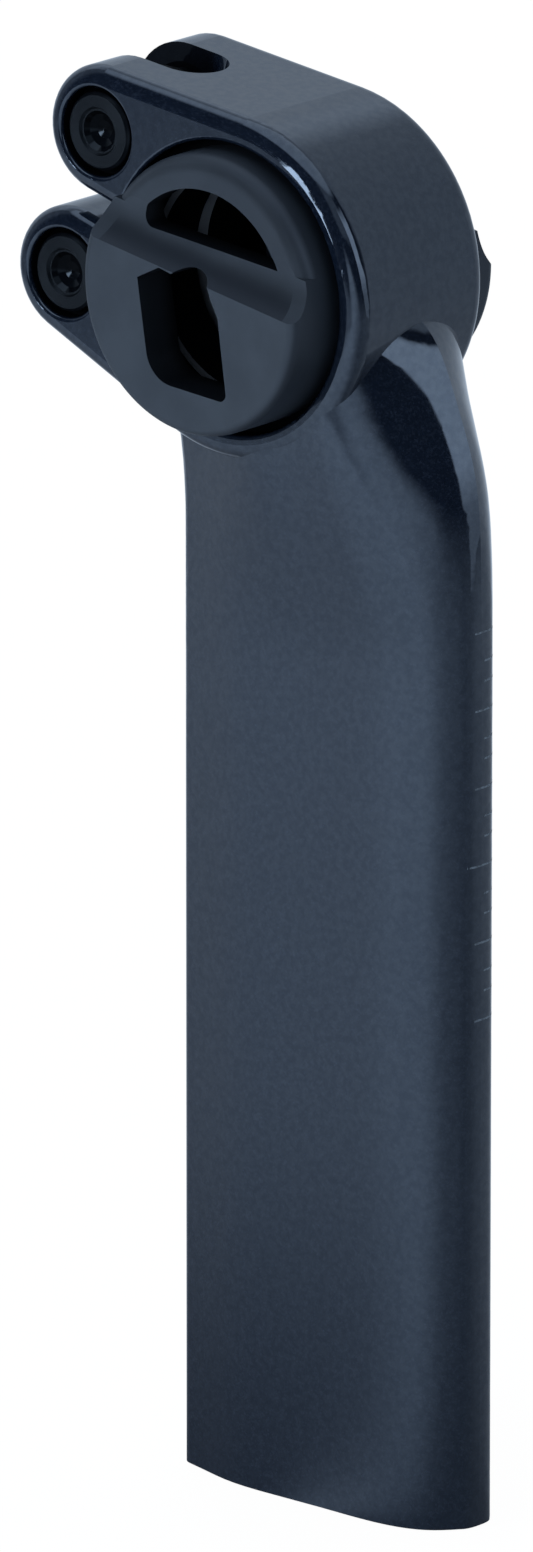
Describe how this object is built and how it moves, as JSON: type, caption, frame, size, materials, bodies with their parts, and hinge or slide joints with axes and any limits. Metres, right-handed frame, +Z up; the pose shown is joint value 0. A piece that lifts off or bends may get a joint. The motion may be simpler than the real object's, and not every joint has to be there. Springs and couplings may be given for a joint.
{
  "type": "bicycle seatpost",
  "caption": "Aero bicycle seatpost with a truncated teardrop tube, a split ring head pinched by a cross-barrel screw, and a turning drum that carries the saddle rails.",
  "frame": {"origin": "centre of the post's cut lower end", "axes": "+Z up along the post, +X towards the front of the bicycle, +Y towards its left side"},
  "size_m": [0.0666, 0.0382, 0.1817],
  "materials": {
    "painted_carbon": "satin-gloss dark blue-grey clear coat over carbon",
    "dark_anodised": "matt dark grey anodised aluminium",
    "black_anodised": "satin black anodised aluminium",
    "black_steel": "black oxide steel"
  },
  "bodies": {
    "post": {"post": "painted_carbon", "upper_barrel": "black_anodised", "lower_barrel": "black_anodised", "pinch_bolt": "black_steel", "pinch_washer": "black_steel"},
    "drum": {"drum_right": "dark_anodised", "drum_left": "dark_anodised"}
  },
  "joints": [
    {"name": "drum_tilt", "type": "hinge", "parent": "post", "child": "drum", "pos_m": [-0.009, 0, 0.157], "axis": [0, 1, 0], "range_deg": [-20, 20]}
  ]
}
